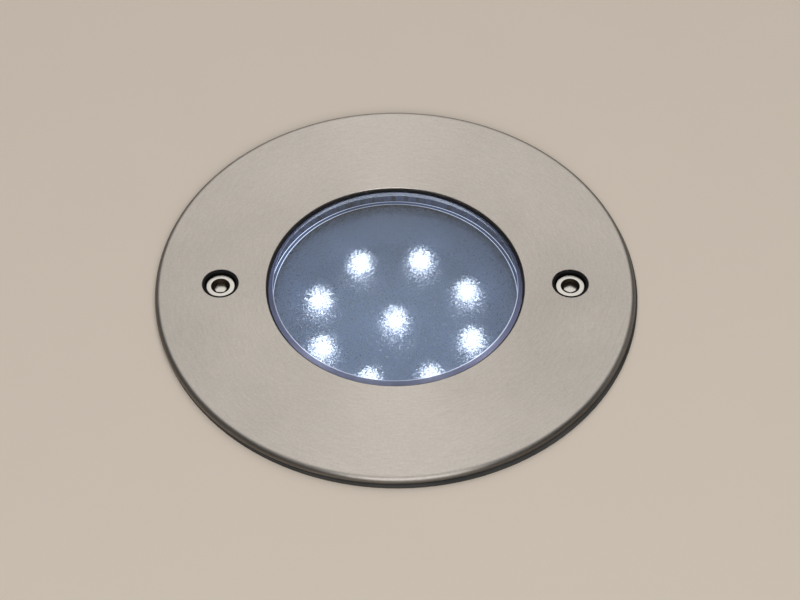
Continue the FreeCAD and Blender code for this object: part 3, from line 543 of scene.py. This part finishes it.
def glass_finish(name, roughness, grain_tilt=0.0, painted_glow_colour=None, side=0, tint=GLASS_TINT, clearness=1.0):
    """One of the glass's faces. It is ground into small tilted facets if grain_tilt is set. It is given a
    painted glow, standing in for the lamps' light it gathers, if a glow colour is given: all round, or
    painted brighter at the far side (1) or the near side (-1) and towards the left and right."""
    surface = Surface(name)
    surface.fix("Base Color", (*tint, 1))
    surface.fix("Transmission Weight", clearness)
    surface.fix("IOR", GLASS_INDEX)
    surface.feed("Roughness", surface.spread(surface.noise(SMEAR_SCALE), roughness, roughness + SMEAR_GLOSS))
    if grain_tilt:
        facets = surface.nodes.new("ShaderNodeTexVoronoi")
        facets.inputs["Scale"].default_value = FACETS_PER_METRE
        surface.links.new(surface.place, facets.inputs["Vector"])
        lean = surface.reckon_vector("SUBTRACT", facets.outputs["Color"], (0.5, 0.5, 0.5))
        reach = surface.reckon("MULTIPLY", facets.outputs["Distance"], grain_tilt)
        facing = surface.nodes.new("ShaderNodeNewGeometry").outputs["Normal"]
        ground = surface.reckon_vector("ADD", surface.scaled(lean, reach), facing)
        surface.feed("Normal", surface.reckon_vector("NORMALIZE", ground))
    # Painted light: emission on the glass, which is no lamp, with a painted brighter side and brighter
    # flanks.
    if painted_glow_colour:
        glow = surface.spread(surface.noise(PAINTED_GLOW_DRIFT_SCALE), *PAINTED_GLOW_DRIFT, *PAINTED_GLOW_DRIFT_RANGE)
        if side:
            across = surface.reckon("ABSOLUTE", surface.axes(surface.place)["X"])
            painted_flank_glow = surface.spread(across, *PAINTED_FLANK_GLOW, 0.0, PAINTED_FLANK_END * MM)
            along = surface.axes(surface.place)["Y"]
            painted_dim_end, painted_lit_start = PAINTED_DIM_SIDE_END * MM * side, PAINTED_LIT_SIDE_START * MM * side
            painted_side_glow = surface.spread(along, PAINTED_DIM_SIDE_GLOW, 1.0, painted_dim_end, painted_lit_start)
            glow = surface.reckon("MULTIPLY", surface.reckon("MULTIPLY", painted_flank_glow, painted_side_glow), glow)
        surface.feed("Emission Strength", glow)
        surface.fix("Emission Color", (*painted_glow_colour, 1))
    return surface


# Painted light: edge, lip, line, bevel and arris glow; the line and the arris are painted highlights, the lip
# is painted opaque dark blue.
glass_finishes = {
    "top": glass_finish("glass_polished", roughness=0.0),
    "frost": glass_finish("glass_frosted", roughness=0.24, grain_tilt=0.80),
    "edge": glass_finish("glass_ground_edge_painted_glow", roughness=0.5, painted_glow_colour=(0.018, 0.020, 0.030)),
    "lip": glass_finish(
        "glass_under_lip_painted", roughness=0.9, painted_glow_colour=(0.034, 0.052, 0.108),
        tint=(0.02, 0.035, 0.07), clearness=0.0
    ),
    "line": glass_finish("glass_lip_line_painted_highlight", roughness=0.4, painted_glow_colour=(0.40, 0.47, 0.62), side=1),
    "bevel": glass_finish(
        "glass_ground_bevel_painted_glow", roughness=0.62, painted_glow_colour=(0.026, 0.024, 0.038), side=-1,
        tint=(0.25, 0.235, 0.31)
    ),
    "arris": glass_finish("glass_arris_painted_highlight", roughness=0.4, painted_glow_colour=(0.34, 0.36, 0.44), side=-1),
}
for finish in glass_finishes.values():
    glass.data.materials.append(finish.material)
for face in glass.data.polygons:
    middle = math.hypot(face.center.x, face.center.y) / MM
    level = face.center.z / MM
    finish = "top"
    if level < GLASS_BOTTOM + FACE_MARGIN:
        if middle < FROST_EDGE:
            finish = "frost"
        elif middle < FROST_EDGE + LINE_WIDTH or LIP_EDGE - LINE_WIDTH < middle < LIP_EDGE:
            finish = "line"
        else:
            finish = "lip"
    elif middle > GLASS_STEP - WALL_MARGIN and GLASS_FLANGE_TOP < level < GLASS_TOP - BEVEL:
        finish = "edge"
    elif middle > GLASS_STEP - BEVEL and level > GLASS_TOP - BEVEL:
        finish = "bevel"
    elif middle > GLASS_STEP - BEVEL - ARRIS and level > GLASS_TOP - BEVEL:
        finish = "arris" if face.normal.z < LEVEL_NORMAL else "top"
    face.material_index = list(glass_finishes).index(finish)
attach(glass, "lens")
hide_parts("lens")

# ---- Cover frame: the black moulded ring under the plate, held to it by four nuts. Only its two collars and
# the inside of the opening show; it is coated like the plate's underside, and reflects very little.
FRAME_DARK = (0.004, 0.004, 0.004)
FRAME_LIGHT = (0.007, 0.007, 0.007)
black_frame = moulded_plastic(
    "black_frame", FRAME_DARK, FRAME_LIGHT, roughness=0.5, grain=1500, relief=0.04
)
black_frame.fix("Specular IOR Level", 0.15)
dress("cover_frame", black_frame)

# ---- Cover plate: stainless steel, turned and then brushed in rings with a satin pad, so fine concentric
# lines run round it, with a finer satin grain over them. Its rim is rounded over, and shade is painted into
# its colour there, darkening it towards the edge.
PLATE_RADIUS = 57.5
PLATE_TOP = 2.5
PLATE_BOTTOM = 1.0
PLATE_FOOT_EDGE = 0.1
OPENING = 30.9
OPENING_ROUND = 0.2
RIM_ROUND = 1.2
SCREW_HOLE = 4.3
MOUTH_WIDENING = 0.3
MOUTH_DEPTH = 0.25
LIP_WIDENING = 0.07
LIP_DEPTH = 0.1
CUTTER_PROUD = 0.05
CUTTER_REACH = 1
SCREW_X = 41.9
BRUSH_DARK = (0.515, 0.47, 0.42)
BRUSH_LIGHT = (0.72, 0.665, 0.605)
BRUSH_RANGE = (0.25, 0.75)
BRUSH_STRENGTH = 0.8
BRUSH_RELIEF = 0.03 * MM
RINGS_PER_METRE = 900.0
STROKE_SCALE = 5.0
STROKE_STRETCH = (3.0, 3.0, 1.0)
STROKE_SHARE = 0.65
SATIN_SCALE = 1600.0
SATIN_SHARE = 0.35
HANDLING_SCALE = 40.0
HANDLING_GLOSS = (0.30, 0.42)
RIM_SHADE = 0.36
RIM_SHADE_START = PLATE_RADIUS - 1.4
RIM_SHADE_END = PLATE_RADIUS - 0.1
outline = [(OPENING, PLATE_BOTTOM), (PLATE_RADIUS - PLATE_FOOT_EDGE, PLATE_BOTTOM)]
outline += [(PLATE_RADIUS, PLATE_BOTTOM + PLATE_FOOT_EDGE)]
outline += arc_points(PLATE_RADIUS - RIM_ROUND, PLATE_TOP - RIM_ROUND, RIM_ROUND, 0, 90, count=10)
outline += arc_points(OPENING + OPENING_ROUND, PLATE_TOP - OPENING_ROUND, OPENING_ROUND, 90, 180, count=4)
outline += [(OPENING, PLATE_BOTTOM)]
plate = turned_piece("cover_plate", outline, steps=256)
mouth = SCREW_HOLE + MOUTH_WIDENING
foot, head = PLATE_BOTTOM - CUTTER_REACH, PLATE_TOP + CUTTER_REACH
cutter_outline = [(0, foot), (SCREW_HOLE, foot), (SCREW_HOLE, PLATE_TOP - MOUTH_DEPTH)]
cutter_outline += [(SCREW_HOLE + LIP_WIDENING, PLATE_TOP - LIP_DEPTH), (mouth, PLATE_TOP + CUTTER_PROUD)]
cutter_outline += [(mouth, head), (0, head)]
for side in (-1, 1):
    cutter = turned_piece("screw_hole_cutter", cutter_outline, steps=64)
    cutter.location.x = side * SCREW_X * MM
    drill = plate.modifiers.new("screw_hole", "BOOLEAN")
    drill.object = cutter
    drill.operation = "DIFFERENCE"
    bpy.context.view_layer.objects.active = plate
    bpy.ops.object.modifier_apply(modifier="screw_hole")
    bpy.data.objects.remove(cutter)
plate.modifiers.new("flat_shading", "WEIGHTED_NORMAL").keep_sharp = True
bpy.ops.object.modifier_apply(modifier="flat_shading")

steel = Surface("brushed_stainless")
flat_place = steel.reckon_vector("MULTIPLY", steel.place, LEVEL_PLANE)
radius = steel.reckon_vector("LENGTH", flat_place)
outward = steel.reckon_vector("NORMALIZE", flat_place)
turn = steel.axes(outward)
ring_place = steel.nodes.new("ShaderNodeCombineXYZ")
steel.links.new(turn["X"], ring_place.inputs["X"])
steel.links.new(turn["Y"], ring_place.inputs["Y"])
steel.links.new(steel.reckon("MULTIPLY", radius, RINGS_PER_METRE), ring_place.inputs["Z"])
stroke_place = steel.reckon_vector("MULTIPLY", ring_place.outputs["Vector"], STROKE_STRETCH)
lines = steel.noise(STROKE_SCALE, detail=6.0, roughness=0.7, place=stroke_place)
strokes = steel.reckon("MULTIPLY", lines, STROKE_SHARE)
brushed = steel.reckon("MULTIPLY_ADD", steel.noise(SATIN_SCALE, detail=3.0), SATIN_SHARE, strokes)
tint = steel.blend(brushed, BRUSH_DARK, BRUSH_LIGHT, *BRUSH_RANGE)
# Painted shade: the colour darkens over the rim's rounding.
rim_shade = steel.spread(radius, 1.0, RIM_SHADE, RIM_SHADE_START * MM, RIM_SHADE_END * MM)
steel.feed("Base Color", steel.scaled(tint, rim_shade))
steel.feed("Roughness", steel.spread(steel.noise(HANDLING_SCALE, detail=5.0), *HANDLING_GLOSS))
steel.emboss(brushed, BRUSH_STRENGTH, BRUSH_RELIEF)
steel.feed("Tangent", outward)
steel.fix("Metallic", 1.0)
steel.fix("Anisotropic", 0.8)
plate.data.materials.append(steel.material)
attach(plate, "cover")
dress("faceplate", steel)
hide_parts("faceplate")

# ---- Cover screws: M4 cap screws in polished stainless steel. The head's edge is rounded, a wide cone leads
# into the 3 mm hexagon socket, whose walls and the cone's slopes are painted near-black as shade, and the
# shank is rolled with a 0.7 mm thread.
HEAD_RADIUS = 3.5
HEAD_HEIGHT = 4.0
HEAD_EDGE = 0.22
HEAD_FOOT_EDGE = 0.15
SOCKET_CONE = 2.3
SOCKET_CONE_FOOT = 1.45
SOCKET_CONE_DEPTH = 0.5
SOCKET_ACROSS = 3.0
SOCKET_DEPTH = 1.3
THREAD_PITCH = 0.7
THREAD_CREST = 2.0
THREAD_ROOT = 1.7
THREAD_RUN_OUT = 0.6
FLANK_START = 0.1
CREST_START = 0.32
CREST_END = 0.45
PLAIN_SHANK = THREAD_CREST - 0.02
PLAIN_LENGTH = 0.4
TIP_CHAMFER = 0.3
TIP_RADIUS = THREAD_ROOT - 0.4
CONE_MARGIN = 0.02
STEEP_NORMAL = 0.5
SCREW_DARK = (0.66, 0.635, 0.585)
SCREW_LIGHT = (0.78, 0.75, 0.69)
SOCKET_SHADE_DARK = (0.016, 0.012, 0.009)
SOCKET_SHADE_LIGHT = (0.050, 0.036, 0.026)
bright = turned_metal("bright_screw", SCREW_DARK, SCREW_LIGHT, roughness=0.30, ring_scale=1500)
socket_painted_shade = turned_metal("socket_painted_shade", SOCKET_SHADE_DARK, SOCKET_SHADE_LIGHT, roughness=0.55, ring_scale=1500)
for side, socket_turn in (("left", 30.0), ("right", 60.0)):
    low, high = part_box(f"{side}_screw")
    head_top, tip = high.z / MM, low.z / MM
    neck = head_top - HEAD_HEIGHT
    cone_foot = head_top - SOCKET_CONE_DEPTH
    level = tip + TIP_CHAMFER
    outline = [(0, tip), (TIP_RADIUS, tip), (THREAD_ROOT, level)]
    while level + THREAD_PITCH < neck - THREAD_RUN_OUT:
        outline += [(THREAD_ROOT, level + FLANK_START), (THREAD_CREST, level + CREST_START)]
        outline += [(THREAD_CREST, level + CREST_END)]
        level += THREAD_PITCH
        outline += [(THREAD_ROOT, level)]
    outline += [(PLAIN_SHANK, neck - PLAIN_LENGTH), (PLAIN_SHANK, neck)]
    outline += [(HEAD_RADIUS - HEAD_FOOT_EDGE, neck), (HEAD_RADIUS, neck + HEAD_FOOT_EDGE)]
    outline += arc_points(HEAD_RADIUS - HEAD_EDGE, head_top - HEAD_EDGE, HEAD_EDGE, 0, 90, count=5)
    outline += [(SOCKET_CONE, head_top), (SOCKET_CONE_FOOT, cone_foot), (0, cone_foot)]
    screw = turned_piece(f"{side}_cap_screw", outline, steps=64)
    screw.data.materials.append(bright.material)
    screw.data.materials.append(socket_painted_shade.material)
    # Painted shade: the cone's sloping faces take the near-black material.
    for face in screw.data.polygons:
        middle = math.hypot(face.center.x, face.center.y) / MM
        in_cone = face.center.z / MM > cone_foot - CONE_MARGIN and middle < SOCKET_CONE
        if in_cone and abs(face.normal.z) < LEVEL_NORMAL:
            face.material_index = 1
    key_radius = SOCKET_ACROSS / math.sqrt(3) * MM
    key_length = 2 * SOCKET_DEPTH * MM
    key_place = (0, 0, head_top * MM)
    bpy.ops.mesh.primitive_cylinder_add(vertices=6, radius=key_radius, depth=key_length, location=key_place)
    key = bpy.context.object
    key.rotation_euler.z = math.radians(socket_turn)
    key.data.materials.append(bright.material)
    key.data.materials.append(socket_painted_shade.material)
    # Painted shade: the socket's walls take the near-black material, and its floor stays bright.
    for face in key.data.polygons:
        face.material_index = 1 if abs(face.normal.z) < STEEP_NORMAL else 0
    broach = screw.modifiers.new("socket", "BOOLEAN")
    broach.object = key
    broach.operation = "DIFFERENCE"
    broach.material_mode = "INDEX"
    bpy.context.view_layer.objects.active = screw
    bpy.ops.object.modifier_apply(modifier="socket")
    bpy.data.objects.remove(key)
    bpy.ops.object.shade_smooth_by_angle(angle=SMOOTH_ANGLE)
    screw.data.transform(Matrix.Translation(((low.x + high.x) / 2, (low.y + high.y) / 2, 0)))
    dress(f"{side}_screw", bright)
    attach(screw, f"{side}_screw")
    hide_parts(f"{side}_screw")
